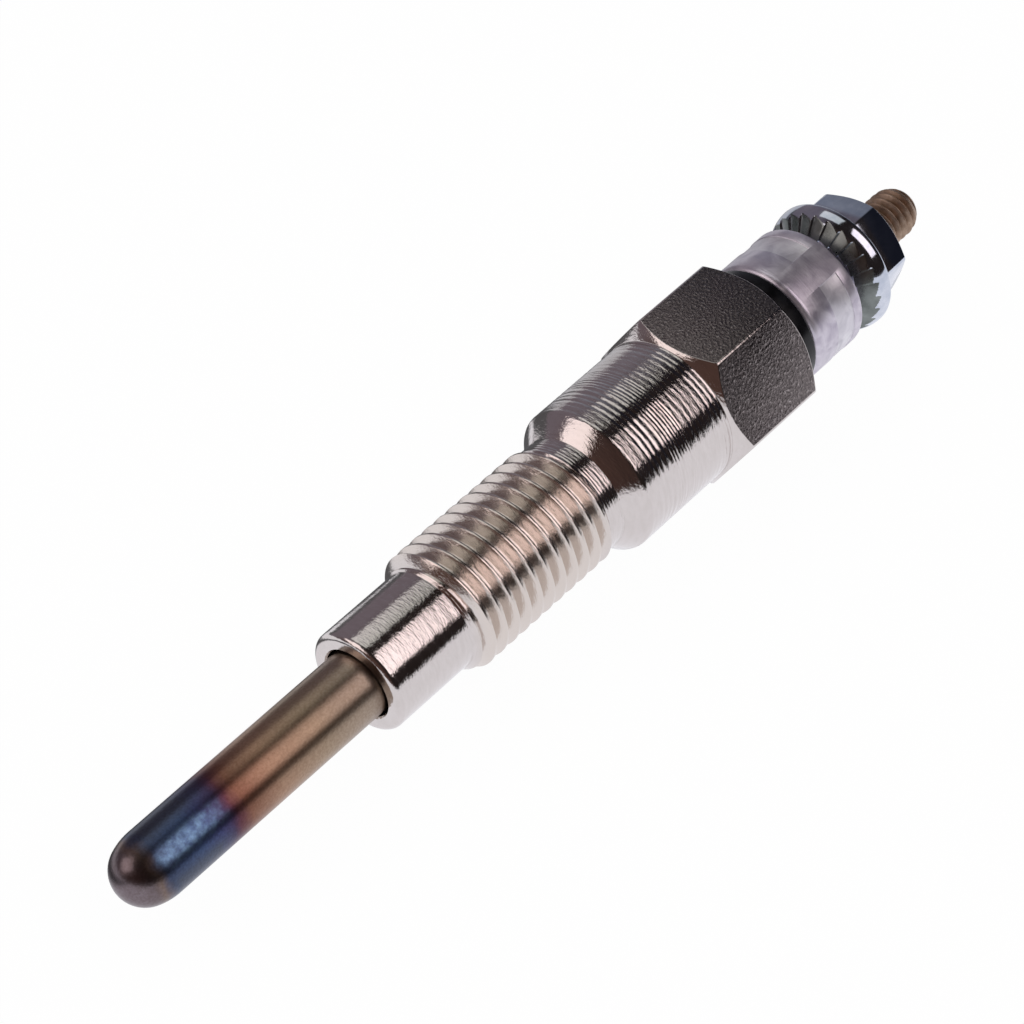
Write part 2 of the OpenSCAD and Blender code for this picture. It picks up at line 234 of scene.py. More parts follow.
# Adds a node: settings go to its sockets or its own properties, links join other outputs to its inputs
def addNode(tree, kind, settings=None, links=None):
    node = tree.nodes.new("ShaderNode" + kind)
    for key, value in (settings or {}).items():
        if key == "stops":
            ramp = node.color_ramp
            while len(ramp.elements) < len(value):
                ramp.elements.new(0.5)
            for element, (position, code) in zip(ramp.elements, value):
                element.position = position
                element.color = linearColour(code) if isinstance(code, str) else (code, code, code, 1.0)
        elif isinstance(key, int) or key in node.inputs:
            node.inputs[key].default_value = value
        else:
            setattr(node, key, value)
    for key, source in (links or {}).items():
        tree.links.new(source, node.inputs[key])
    return node


# A new finish gives its tree, its shader, and the plug's own coordinates in mm: x down, y across, z along.
# So a pattern of scale 5 has grains of about 1/5 mm.
def newFinish(name, **sockets):
    material = bpy.data.materials.new(name)
    material.use_nodes = True
    tree = material.node_tree
    tree.nodes.clear()
    shader = addNode(tree, "BsdfPrincipled", sockets)
    addNode(tree, "OutputMaterial", links={"Surface": shader.outputs[0]})
    place = addNode(tree, "TexCoord")
    own = addNode(tree, "Mapping", {"vector_type": "TEXTURE", "Location": seatCentre,
                                    "Rotation": placePlug.to_euler(), "Scale": (mm, mm, mm)},
                  {"Vector": place.outputs["Object"]})
    return material, tree, shader, own.outputs[0]


# Bright nickel plate over turned steel: a warm mirror, broken by fine ring lines left by the tool
def makeNickelPlate():
    material, tree, shader, own = newFinish("brightNickelPlate", Metallic=1.0)
    # The tool's lines are finer than the render can show, so they are drawn 0.36 mm apart, with nicks of 0.1 mm
    rings = addNode(tree, "Mapping", {"Scale": (0.75, 0.75, 2.8)}, {"Vector": own})
    lines = addNode(tree, "TexNoise", {"Scale": 1.0, "Detail": 4.0, "Roughness": 0.6},
                    {"Vector": rings.outputs[0]})
    short = addNode(tree, "Mapping", {"Scale": (3.0, 3.0, 9.0)}, {"Vector": own})
    nicks = addNode(tree, "TexNoise", {"Scale": 1.0, "Detail": 3.0}, {"Vector": short.outputs[0]})
    tint = addNode(tree, "ValToRGB", {"stops": [(0.3, "#cec7c3"), (0.7, "#d6cfcc")]},
                   {"Fac": lines.outputs[0]})
    gloss = addNode(tree, "MapRange", {"From Min": 0.3, "From Max": 0.7, "To Min": 0.08, "To Max": 0.15},
                    {"Value": lines.outputs[0]})
    # The rolled thread is duller than the turned faces on each side of it, and a little yellow
    along = addNode(tree, "SeparateXYZ", links={0: own})
    station = addNode(tree, "MapRange", {"From Min": -24.6, "From Max": 18.6}, {"Value": along.outputs["Z"]})
    rolled = addNode(tree, "ValToRGB", {"stops": [(0.175, 0.0), (0.2, 1.0), (0.48, 1.0), (0.5, 0.0)]},
                     {"Fac": station.outputs[0]})
    dull = addNode(tree, "Math", {"operation": "MULTIPLY_ADD", 1: 0.1},
                   {0: rolled.outputs[0], 2: gloss.outputs[0]})
    straw = addNode(tree, "Math", {"operation": "MULTIPLY", 1: 0.6}, {0: rolled.outputs[0]})
    plate = addNode(tree, "Mix", {"data_type": "RGBA", "B": linearColour("#dfd4c9")},
                    {"Factor": straw.outputs[0], "A": tint.outputs[0]})
    turned = addNode(tree, "Bump", {"Strength": 0.9, "Distance": 0.03 * mm}, {"Height": lines.outputs[0]})
    bump = addNode(tree, "Bump", {"Strength": 0.8, "Distance": 0.018 * mm},
                   {"Height": nicks.outputs[0], "Normal": turned.outputs[0]})
    tree.links.new(plate.outputs["Result"], shader.inputs["Base Color"])
    tree.links.new(dull.outputs[0], shader.inputs["Roughness"])
    tree.links.new(bump.outputs[0], shader.inputs["Normal"])
    return material


# The hexagon's flats keep the rolled bar's skin under the nickel: satin, with an orange-peel grain of 0.2 mm.
# Their colour is darkened as painted shade, and the brightest grains are painted glints.
def makeHexGrainAndShade():
    material, tree, shader, own = newFinish("hexGrainPaintedShade", Metallic=1.0, Roughness=0.17)
    grain = addNode(tree, "TexNoise", {"Scale": 5.0, "Detail": 3.0, "Roughness": 0.55, "Distortion": 0.3},
                    {"Vector": own})
    fine = addNode(tree, "TexNoise", {"Scale": 11.0, "Detail": 2.0}, {"Vector": own})
    # Painted shade: a dark nickel, with bright specks as painted glints
    tint = addNode(tree, "ValToRGB", {"stops": [(0.3, "#5f5857"), (0.58, "#7e7675"), (0.72, "#b0a8a6")]},
                   {"Fac": grain.outputs[0]})
    coarse = addNode(tree, "Bump", {"Strength": 0.8, "Distance": 0.055 * mm}, {"Height": grain.outputs[0]})
    bump = addNode(tree, "Bump", {"Strength": 0.5, "Distance": 0.012 * mm},
                   {"Height": fine.outputs[0], "Normal": coarse.outputs[0]})
    tree.links.new(tint.outputs[0], shader.inputs["Base Color"])
    tree.links.new(bump.outputs[0], shader.inputs["Normal"])
    return material


# Ground nickel-chromium tube, tempered by its own heat: dark tip, blue, violet, then straw back to bare
# metal. Its tint wanders in clouds of 2 mm, and the grit of the grinding is drawn coarse, at 0.2 mm, to show.
def makeHeatTint():
    material, tree, shader, own = newFinish("heatTintedTube", Metallic=1.0)
    cloud = addNode(tree, "TexNoise", {"Scale": 0.45, "Detail": 3.0}, {"Vector": own})
    wander = addNode(tree, "MapRange", {"To Min": -1.0, "To Max": 1.0}, {"Value": cloud.outputs[0]})
    along = addNode(tree, "SeparateXYZ", links={0: own})
    station = addNode(tree, "Math", {"operation": "ADD"}, {0: along.outputs["Z"], 1: wander.outputs[0]})
    share = addNode(tree, "MapRange", {"From Min": -47.4, "From Max": -24.6}, {"Value": station.outputs[0]})
    tint = addNode(tree, "ValToRGB", {"stops": [
        (0.0, "#80757a"), (0.06, "#756a6d"), (0.085, "#7f6f68"), (0.12, "#4a5674"), (0.24, "#4b5f88"),
        (0.31, "#4a507e"), (0.36, "#4e405f"), (0.395, "#6a444c"), (0.44, "#8d6453"), (0.56, "#ac8c75"),
        (0.75, "#aa957f"), (1.0, "#a8998b")]}, {"Fac": share.outputs[0]})
    # The blue skin gets a painted highlight, mottled by the specks, along the side that faces the camera and
    # the key light, and painted shade towards the edges. That side's direction is divided by the tube's radius,
    # so the dot is 1 in its middle.
    blue = addNode(tree, "ValToRGB", {"stops": [(0.09, 0.0), (0.14, 1.0), (0.29, 1.0), (0.38, 0.0)]},
                   {"Fac": share.outputs[0]})
    facingSide = addNode(tree, "VectorMath", {"operation": "DOT_PRODUCT", 1: (-0.311, -0.226, 0)}, {0: own})
    pale = addNode(tree, "MapRange", {"From Min": 0.92, "From Max": 0.98}, {"Value": facingSide.outputs["Value"]})
    speck = addNode(tree, "TexNoise", {"Scale": 2.2, "Detail": 2.0}, {"Vector": own})
    fleck = addNode(tree, "MapRange", {"From Min": 0.32, "From Max": 0.7, "To Min": 0.2},
                    {"Value": speck.outputs[0]})
    # Painted highlight: pale blue specks along the side that faces the light; worn is this mottled painted
    # highlight
    onBlue = addNode(tree, "Math", {"operation": "MULTIPLY"}, {0: pale.outputs[0], 1: blue.outputs[0]})
    worn = addNode(tree, "Math", {"operation": "MULTIPLY"}, {0: fleck.outputs[0], 1: onBlue.outputs[0]})
    mottled = addNode(tree, "Mix", {"data_type": "RGBA", "B": linearColour("#7798bb")},
                      {"Factor": worn.outputs[0], "A": tint.outputs[0]})
    # Painted shade: the blue darkens towards the tube's edges, away from that side
    under = addNode(tree, "MapRange", {"From Min": 0.95, "From Max": 0.7, "To Min": 0.0, "To Max": 0.85},
                    {"Value": facingSide.outputs["Value"]})
    shadeOnBlue = addNode(tree, "Math", {"operation": "MULTIPLY"}, {0: under.outputs[0], 1: blue.outputs[0]})
    shadedBlue = addNode(tree, "Mix", {"data_type": "RGBA", "B": linearColour("#545a67")},
                     {"Factor": shadeOnBlue.outputs[0], "A": mottled.outputs["Result"]})
    gloss = addNode(tree, "MapRange", {"To Min": 0.29, "To Max": 0.37}, {"Value": cloud.outputs[0]})
    bead = addNode(tree, "ValToRGB", {"stops": [(0.05, 0.85), (0.1, 1.0)]}, {"Fac": share.outputs[0]})
    finish = addNode(tree, "Math", {"operation": "MULTIPLY"}, {0: gloss.outputs[0], 1: bead.outputs[0]})
    grit = addNode(tree, "TexNoise", {"Scale": 5.5, "Detail": 2.0}, {"Vector": own})
    bump = addNode(tree, "Bump", {"Strength": 0.5, "Distance": 0.014 * mm}, {"Height": grit.outputs[0]})
    shade = addNode(tree, "ValToRGB", {"stops": [(0.3, "#e4e0dc"), (0.7, "#ffffff")]},
                    {"Fac": grit.outputs[0]})
    ground = addNode(tree, "Mix", {"data_type": "RGBA", "blend_type": "MULTIPLY", "Factor": 1.0},
                     {"A": shadedBlue.outputs["Result"], "B": shade.outputs[0]})
    tree.links.new(ground.outputs["Result"], shader.inputs["Base Color"])
    tree.links.new(finish.outputs[0], shader.inputs["Roughness"])
    tree.links.new(bump.outputs[0], shader.inputs["Normal"])
    return material


# Moulded phenolic resin: black and glossy, with a little dust grey in flow marks of 0.8 mm
def makeBlackMoulding():
    material, tree, shader, own = newFinish("mouldedPhenolic", **{"Specular IOR Level": 0.3})
    flow = addNode(tree, "TexNoise", {"Scale": 1.2, "Detail": 4.0}, {"Vector": own})
    tint = addNode(tree, "ValToRGB", {"stops": [(0.4, "#08080a"), (0.8, "#121317")]}, {"Fac": flow.outputs[0]})
    gloss = addNode(tree, "MapRange", {"To Min": 0.14, "To Max": 0.34}, {"Value": flow.outputs[0]})
    tree.links.new(tint.outputs[0], shader.inputs["Base Color"])
    tree.links.new(gloss.outputs[0], shader.inputs["Roughness"])
    return material


# Turned soft aluminium: pale lilac grey, smeared over 1.4 mm by the pressing jaws and flatter where they
# bit. Its turning lines are drawn 0.17 mm apart, coarser than they are, to show.
def makeRingAluminium(name, dark, middle, light, dull):
    material, tree, shader, own = newFinish(name, Metallic=0.8)
    smear = addNode(tree, "TexNoise", {"Scale": 0.7, "Detail": 6.0, "Distortion": 0.8}, {"Vector": own})
    tint = addNode(tree, "ValToRGB", {"stops": [(0.3, dark), (0.5, middle), (0.75, light)]},
                   {"Fac": smear.outputs[0]})
    gloss = addNode(tree, "MapRange", {"To Min": dull, "To Max": dull + 0.16}, {"Value": smear.outputs[0]})
    rings = addNode(tree, "Mapping", {"Scale": (0.6, 0.6, 6.0)}, {"Vector": own})
    lines = addNode(tree, "TexNoise", {"Scale": 1.0, "Detail": 5.0}, {"Vector": rings.outputs[0]})
    bump = addNode(tree, "Bump", {"Strength": 0.6, "Distance": 0.022 * mm}, {"Height": lines.outputs[0]})
    tree.links.new(tint.outputs[0], shader.inputs["Base Color"])
    tree.links.new(gloss.outputs[0], shader.inputs["Roughness"])
    tree.links.new(bump.outputs[0], shader.inputs["Normal"])
    return material


# Bright zinc plate with a blue passivate: cool, mirror-like, slightly wavy over about 1 mm
def makeNutZinc(name, dark, light, dull):
    material, tree, shader, own = newFinish(name, Metallic=1.0)
    wave = addNode(tree, "TexNoise", {"Scale": 0.9, "Detail": 4.0}, {"Vector": own})
    tint = addNode(tree, "ValToRGB", {"stops": [(0.3, dark), (0.7, light)]}, {"Fac": wave.outputs[0]})
    gloss = addNode(tree, "MapRange", {"To Min": dull, "To Max": dull + 0.08}, {"Value": wave.outputs[0]})
    bump = addNode(tree, "Bump", {"Strength": 0.2, "Distance": 0.02 * mm}, {"Height": wave.outputs[0]})
    tree.links.new(tint.outputs[0], shader.inputs["Base Color"])
    tree.links.new(gloss.outputs[0], shader.inputs["Roughness"])
    tree.links.new(bump.outputs[0], shader.inputs["Normal"])
    return material


# Rolled steel thread gone brown with tarnish, in patches of 0.7 mm
def makeRodSteel():
    material, tree, shader, own = newFinish("tarnishedSteel", Metallic=1.0)
    patch = addNode(tree, "TexNoise", {"Scale": 1.4, "Detail": 5.0}, {"Vector": own})
    tint = addNode(tree, "ValToRGB", {"stops": [(0.3, "#8d7867"), (0.55, "#ad9683"), (0.8, "#cebba9")]},
                   {"Fac": patch.outputs[0]})
    gloss = addNode(tree, "MapRange", {"To Min": 0.44, "To Max": 0.58}, {"Value": patch.outputs[0]})
    bump = addNode(tree, "Bump", {"Strength": 0.2, "Distance": 0.01 * mm}, {"Height": patch.outputs[0]})
    tree.links.new(tint.outputs[0], shader.inputs["Base Color"])
    tree.links.new(gloss.outputs[0], shader.inputs["Roughness"])
    tree.links.new(bump.outputs[0], shader.inputs["Normal"])
    return material


# What the shell hides: drawn wire, packed powder and rubber, each with its own grain of 0.2 to 0.3 mm
def makeHidden(name, dark, light, scale, **sockets):
    material, tree, shader, own = newFinish(name, **sockets)
    grain = addNode(tree, "TexNoise", {"Scale": scale, "Detail": 4.0}, {"Vector": own})
    tint = addNode(tree, "ValToRGB", {"stops": [(0.35, dark), (0.7, light)]}, {"Fac": grain.outputs[0]})
    bump = addNode(tree, "Bump", {"Strength": 0.3, "Distance": 0.01 * mm}, {"Height": grain.outputs[0]})
    tree.links.new(tint.outputs[0], shader.inputs["Base Color"])
    tree.links.new(bump.outputs[0], shader.inputs["Normal"])
    return material


nickelPlate = makeNickelPlate()
hexGrainAndShade = makeHexGrainAndShade()

# Shell: turned nose, thread, neck, seat and body, and the hexagon
shell = {
    "noseR": 4.05, "faceZ": -24.5938, "noseRound": 0.5, "gapR": 2.8, "gapDepth": 5.0, "gripR": 2.6,
    "gripEnd": -7.5938, "threadZ": -17.0938, "threadEnd": -2.9938, "neckR": 4.65, "neckEnd": -1.4438,
    "bodyR": 5.95, "bodyStart": 0.17, "bodyEnd": 9.2562, "boreR": 2.3, "counterboreR": 3.7,
    "counterboreZ": 11.6062, "gapEdge": 0.12, "hexEdge": 0.14, "intoHex": 0.15, "hexInset": 0.05,
    "underSkin": 0.02, "crestClear": 0.1, "plainNeck": 0.1, "neckFeed": 0.3, "neckDepth": 0.022,
    "bodyFeed": 0.43, "bodyDepth": 0.028, "bodyWorn": (6.9, 1.0),
    "seatCorner": ((0.09, -0.1), (0.02, 0.03)),  # depth under the body's radius, and station
}
mainThread = {"crestR": 4.95, "rootR": 4.183, "footR": 4.05, "crest": 0.19, "soften": 0.035, "pitch": 1.25,
              "start": -19.236, "turns": 14, "steps": 96}
shellHex = {"acrossFlats": 12.4, "bottom": 9.2562, "top": 18.6062, "turn": 0, "cornerRound": 0.14,
            "coneSlope": 40, "frontR": 5.95, "rearR": 5.95, "frontLift": 0}


def makeShell():
    s, t = shell, mainThread
    neck = toolMarks(s["neckR"], s["threadEnd"], s["neckEnd"] - s["plainNeck"], s["neckFeed"], s["neckDepth"],
                     1, steps=6)
    body = toolMarks(s["bodyR"], s["bodyStart"], s["bodyEnd"], s["bodyFeed"], s["bodyDepth"], 2,
                     worn=s["bodyWorn"])
    outline = [(s["gripR"], s["faceZ"] + s["gapDepth"]), (s["gapR"], s["faceZ"] + s["gapDepth"]),
               (s["gapR"], s["faceZ"] + s["gapEdge"]), (s["gapR"] + s["gapEdge"], s["faceZ"])]
    outline += roundEdge((s["noseR"] - s["noseRound"], s["faceZ"] + s["noseRound"]), s["noseRound"], -90, 0, 10)
    outline += [(s["noseR"], s["threadZ"]), (t["rootR"], s["threadZ"] + t["rootR"] - s["noseR"]),
                (t["rootR"], s["threadEnd"] - (s["neckR"] - t["rootR"]))]
    seatCorner = [(s["bodyR"] - depth, z) for depth, z in s["seatCorner"]]
    outline += neck + [(s["neckR"], s["neckEnd"])] + seatCorner + body
    inHex = s["bodyEnd"] + s["intoHex"]
    outline += [(s["bodyR"] - s["hexInset"], inHex), (s["boreR"], inHex), (s["boreR"], s["gripEnd"]),
                (s["gripR"], s["gripEnd"])]
    turned = turnPiece("shellSkin", outline, 160)
    turned.data.materials.append(nickelPlate)

    # The ridge runs out at 45 degrees, and ends a little under the nose and the neck
    wide, under = t["crestR"] + s["crestClear"], s["underSkin"]
    limit = [(0, s["threadZ"]), (s["noseR"] - under, s["threadZ"]),
             (wide, s["threadZ"] + wide - s["noseR"] + under),
             (wide, s["threadEnd"] - wide + s["neckR"] - under),
             (s["neckR"] - under, s["threadEnd"]), (0, s["threadEnd"])]
    ridge = windThread("threadRidge", t, limit)
    ridge.data.materials.append(nickelPlate)

    bar = hexBar("hexBar", shellHex)
    below, above = shellHex["bottom"] - 1, shellHex["top"] + 1
    bore = turnPiece("boreTool", [(0, below), (s["boreR"], below), (s["boreR"], s["counterboreZ"]),
                                  (s["counterboreR"], s["counterboreZ"]), (s["counterboreR"], above),
                                  (0, above)], 96, closed=False)
    cutPiece(bar, bore, "DIFFERENCE")
    applyModifier(bar, "BEVEL", width=s["hexEdge"] * mm, segments=4, limit_method="ANGLE",
                  angle_limit=math.radians(18))
    bar.data.materials.append(nickelPlate)
    bar.data.materials.append(hexGrainAndShade)
    # The flats get the second finish: grain, with painted shade and painted glints
    for polygon in bar.data.polygons:
        turn = math.degrees(math.atan2(polygon.normal.y, polygon.normal.x)) % 60
        onFlat = abs(polygon.normal.z) < 0.02 and min(turn, 60 - turn) < 1
        polygon.material_index = 1 if onFlat else 0
    finishPiece(joinPieces(turned, ridge, bar), "shell")


makeShell()

# Glow tube: closed end with a welded bead, drawn in a little behind it
tube = {"tubeR": 2.6, "wall": 0.5, "tipZ": -47.3938, "beadH": 1.6, "draw": 0.3, "drawL": 1.7, "tipT": 1.8,
        "endZ": -7.5938}


def makeTube():
    t = tube
    beadR = t["tubeR"] - t["draw"]
    ball = (beadR ** 2 + t["beadH"] ** 2) / (2 * t["beadH"])
    beadZ = t["tipZ"] + t["beadH"]
    straightZ = beadZ + t["drawL"]
    drawBall = (t["drawL"] ** 2 + t["draw"] ** 2) / (2 * t["draw"])
    beadAngle = math.degrees(math.acos(beadR / ball))
    drawAngle = math.degrees(math.asin(t["drawL"] / drawBall))
    outline = roundEdge((0, t["tipZ"] + ball), ball, -90, -beadAngle, 18)
    outline[0] = (0, t["tipZ"])
    outline += roundEdge((t["tubeR"] - drawBall, straightZ), drawBall, -drawAngle, 0, 10)[1:]
    outline += [(t["tubeR"], straightZ + (t["endZ"] - straightZ) * i / 12) for i in range(1, 13)]
    inner = t["tubeR"] - t["wall"]
    outline += [(inner, t["endZ"]), (inner, straightZ), (inner - t["draw"], t["tipZ"] + t["tipT"]),
                (0, t["tipZ"] + t["tipT"])]
    piece = turnPiece("glowTubeSkin", outline, 128, closed=False)
    piece.data.materials.append(makeHeatTint())
    finishPiece(piece, "glow_tube")


makeTube()

# Insulator: collar with a soft edge, sleeve down into the shell
insulator = {"collarR": 5.15, "bottom": 18.6062, "top": 20.3562, "edge": 0.2, "sleeveR": 3.68,
             "sleeveZ": 13.6062, "boreR": 2.1}


def makeInsulator():
    c = insulator
    outline = [(c["boreR"], c["sleeveZ"]), (c["sleeveR"], c["sleeveZ"]), (c["sleeveR"], c["bottom"])]
    outline += roundEdge((c["collarR"] - c["edge"], c["bottom"] + c["edge"]), c["edge"], -90, 0)
    outline += roundEdge((c["collarR"] - c["edge"], c["top"] - c["edge"]), c["edge"], 0, 90)
    outline += [(c["boreR"], c["top"])]
    piece = turnPiece("insulatorCollar", outline, 128)
    piece.data.materials.append(makeBlackMoulding())
    finishPiece(piece, "insulator")


makeInsulator()

# Clamp ring: rounded edges, raised face for the nut, three jaw prints
ring = {"ringR": 5.2, "bottom": 20.3562, "top": 26.1062, "frontRound": 0.6, "rearRound": 0.3, "faceR": 3.4,
        "faceZ": 27.3562, "boreR": 2.0, "jaws": 3, "land": 30, "turn": 202, "printZ": 23.0062, "printW": 2.0,
        "printDepth": 0.08, "printEdge": 0.07}


def makeRing():
    c = ring
    front, rear = c["frontRound"], c["rearRound"]
    outline = [(c["boreR"], c["bottom"])]
    outline += roundEdge((c["ringR"] - front, c["bottom"] + front), front, -90, 0, 8)
    outline += roundEdge((c["ringR"] - rear, c["top"] - rear), rear, 0, 90, 6)
    outline += [(c["faceR"], c["top"]), (c["faceR"], c["faceZ"]), (c["boreR"], c["faceZ"])]
    piece = turnPiece("clampRing", outline, 144)
    inner, outer = c["ringR"] - c["printDepth"], c["ringR"] + 1
    printTop = c["printZ"] + c["printW"]
    sweep = 360 / c["jaws"] - c["land"]
    for i in range(c["jaws"]):
        jaw = turnPiece("jawTool", [(inner, c["printZ"]), (outer, c["printZ"]), (outer, printTop),
                                    (inner, printTop)], 48, sweep=sweep)
        # Spin runs clockwise, so the tool's far side is its start
        jaw.rotation_euler.z = math.radians(c["turn"] + c["land"] / 2 + 360 / c["jaws"] * i + sweep)
        cutPiece(piece, jaw, "DIFFERENCE")
    applyModifier(piece, "BEVEL", width=c["printEdge"] * mm, segments=3, limit_method="ANGLE",
                  angle_limit=math.radians(30))
    for finish in (("pressedAluminium", "#aea7b6", "#c9c3ce", "#e2dde6", 0.24),
                   ("jawPressedAluminium", "#c4c1c9", "#dad7de", "#ecebef", 0.33)):
        piece.data.materials.append(makeRingAluminium(*finish))
    for polygon in piece.data.polygons:
        radius = math.hypot(polygon.center.x, polygon.center.y) / mm
        inPrint = abs(radius - inner) < c["printDepth"] / 2 and c["printZ"] < polygon.center.z / mm < printTop
        polygon.material_index = 1 if inPrint else 0
    finishPiece(piece, "clamp_ring")


makeRing()

# Terminal nut: hexagon on a bulged flange, whose coned underside has ramped teeth
nut = {"bottom": 27.0562, "rimR": 5.4, "rimZ": 2.1, "bulge": 2.2, "bulgeAngle": 38, "rimRound": 0.25,
       "slope": 25, "coneR": 4.0, "dish": 0.3, "toothInR": 3.9, "teeth": 26, "stepsPerTooth": 14,
       "toothH": 0.25, "toothTop": 0.12, "toothBand": (0.02, 0.05), "toothNear": 0.04,
       "boreR": 2.05, "countersink": 0.35, "hexEdge": 0.04}
nutHex = {"acrossFlats": 8.0, "bottom": 28.8, "top": 32.7562, "turn": -14, "cornerRound": 0.2, "coneSlope": 30,
          "frontR": 0, "rearR": 3.8, "frontLift": 0.5}


def makeNut():
    c = nut
    base = c["bottom"]
    rim = roundEdge((c["rimR"] - c["bulge"], base + c["rimZ"]), c["bulge"], -c["bulgeAngle"], 0, 24)
    rim += roundEdge((c["rimR"] - c["rimRound"], base + c["rimZ"]), c["rimRound"], 0, 90 - c["slope"])[1:]
    coneTop = rim[-1][1] + (rim[-1][0] - c["coneR"]) * math.tan(math.radians(c["slope"]))
    faceSlope = (rim[0][1] - base) / (rim[0][0] - c["toothInR"])
    outline = [(c["boreR"], base + c["dish"]), (c["toothInR"], base + c["dish"]), (c["toothInR"], base)]
    outline += [(c["toothInR"] + (rim[0][0] - c["toothInR"]) * i / 6, base + (rim[0][1] - base) * i / 6)
                for i in range(1, 6)]
    outline += rim + [(c["coneR"], coneTop), (c["boreR"], coneTop)]
    flange = turnPiece("terminalNut", outline, c["teeth"] * c["stepsPerTooth"])
    pitch = 2 * math.pi / c["teeth"]

    # Radius of a point, and height of the ramped teeth there: a point on a line belongs to the tooth after it
    def toothFloor(place):
        r = math.hypot(place.x, place.y) / mm
        share = (math.atan2(place.y, place.x) / pitch + 1e-4) % 1.0
        ramp = max(0.0, 1 - share / (1 - c["toothTop"]))
        return r, base + (r - c["toothInR"]) * faceSlope + c["toothH"] * r / c["rimR"] * ramp

    for vertex in flange.data.vertices:
        r, floorZ = toothFloor(vertex.co)
        if r > c["toothInR"] - 1e-3:
            vertex.co.z = max(vertex.co.z, floorZ * mm)
    flange.data.materials.append(makeNutZinc("blueZincPlate", "#b6bdcb", "#d5d9e2", 0.06))
    # The teeth take a darker zinc as painted shade of the gap between clamp ring and nut, and a duller gloss
    flange.data.materials.append(makeNutZinc("teethPaintedShade", "#666b69", "#8a8f8d", 0.24))
    inner, outer = c["toothInR"] - c["toothBand"][0], c["rimR"] - c["toothBand"][1]
    for polygon in flange.data.polygons:
        r, floorZ = toothFloor(polygon.center)
        onTeeth = inner < r < outer and polygon.center.z / mm < floorZ + c["toothNear"]
        polygon.material_index = 1 if onTeeth else 0
    bar = hexBar("nutHex", nutHex)
    top, past = nutHex["top"], 0.5
    bore = turnPiece("boreTool", [(0, base), (c["boreR"], base), (c["boreR"], top - c["countersink"]),
                                  (c["boreR"] + c["countersink"] + past, top + past), (0, top + past)],
                     96, closed=False)
    cutPiece(bar, bore, "DIFFERENCE")
    applyModifier(bar, "BEVEL", width=c["hexEdge"] * mm, segments=2, limit_method="ANGLE",
                  angle_limit=math.radians(18))
    bar.data.materials.append(flange.data.materials[0])
    finishPiece(joinPieces(flange, bar), "terminal_nut")


makeNut()

# Centre rod: pin and rod inside, threaded stud with a domed end outside
rod = {"pinR": 1.0136, "pinZ": -28.2, "shoulderZ": -26.2, "rodR": 1.7, "studZ": 19.5562, "studR": 2.0,
       "studTaper": 0.3, "rootR": 1.57, "plainZ": 29.0, "runOut": 0.4, "endZ": 38.6062, "dome": 1.7,
       "crestClear": 0.05, "domeInset": 0.015, "domeEdgeR": 1.99, "domeDrop": 0.1}
studThread = {"crestR": 2.0, "footR": 1.5, "crest": 0.12, "soften": 0.1, "pitch": 0.7,
              "start": 28.5, "turns": 14, "steps": 64}


def makeRod():
    c, t = rod, studThread
    ball = (c["studR"] ** 2 + c["dome"] ** 2) / (2 * c["dome"])
    ballZ = c["endZ"] - ball
    rootZ = ballZ + math.sqrt(ball ** 2 - c["rootR"] ** 2)
    rootAngle = math.degrees(math.acos(c["rootR"] / ball))
    outline = [(0, c["pinZ"]), (c["pinR"], c["pinZ"]), (c["pinR"], c["shoulderZ"]), (c["rodR"], c["shoulderZ"]),
               (c["rodR"], c["studZ"] - c["studTaper"]), (c["studR"], c["studZ"]), (c["studR"], c["plainZ"]),
               (c["rootR"], c["plainZ"] + c["runOut"]), (c["rootR"], rootZ)]
    outline += roundEdge((0, ballZ), ball, rootAngle, 90, 10)[1:]
    outline[-1] = (0, c["endZ"])
    core = turnPiece("terminalStud", outline, 96, closed=False)
    # The ridge ends in a dome just inside the core's own
    wide = t["crestR"] + c["crestClear"]
    shrunk, edgeR = ball - c["domeInset"], c["domeEdgeR"]
    edgeZ = ballZ + math.sqrt(shrunk ** 2 - edgeR ** 2) - c["domeDrop"]
    limit = [(0, c["plainZ"]), (wide, c["plainZ"]), (wide, edgeZ)]
    limit += roundEdge((0, ballZ), shrunk, math.degrees(math.acos(edgeR / shrunk)), 90, 12)
    limit[-1] = (0, ballZ + shrunk)
    ridge = windThread("studRidge", t, limit)
    steel = makeRodSteel()
    core.data.materials.append(steel)
    ridge.data.materials.append(steel)
    finishPiece(joinPieces(core, ridge), "centre_rod")


makeRod()

# Pieces that the shell hides stay as they are and take a finish
hiddenFinishes = {
    "heating_coil": makeHidden("drawnHeaterWire", "#77777b", "#a2a2a6", 3.0, Metallic=1.0, Roughness=0.35),
    "control_coil": makeHidden("drawnControlWire", "#8f7752", "#c0a376", 3.0, Metallic=1.0, Roughness=0.35),
    "magnesia_sleeve": makeHidden("packedMagnesia", "#d9d3c7", "#f0ece4", 6.0, Roughness=0.9),
    "tube_seal": makeHidden("blackRubber", "#1c1c1e", "#2e2e31", 4.0, Roughness=0.7),
}
hiddenFinishes["magnesia_core"] = hiddenFinishes["magnesia_sleeve"]
hiddenFinishes["rod_seal"] = hiddenFinishes["tube_seal"]
for nodeName, finish in hiddenFinishes.items():
    node = frame["nodes"][nodeName]
    node.data.materials.clear()
    node.data.materials.append(finish)
print("hidden pieces finished", len(hiddenFinishes))
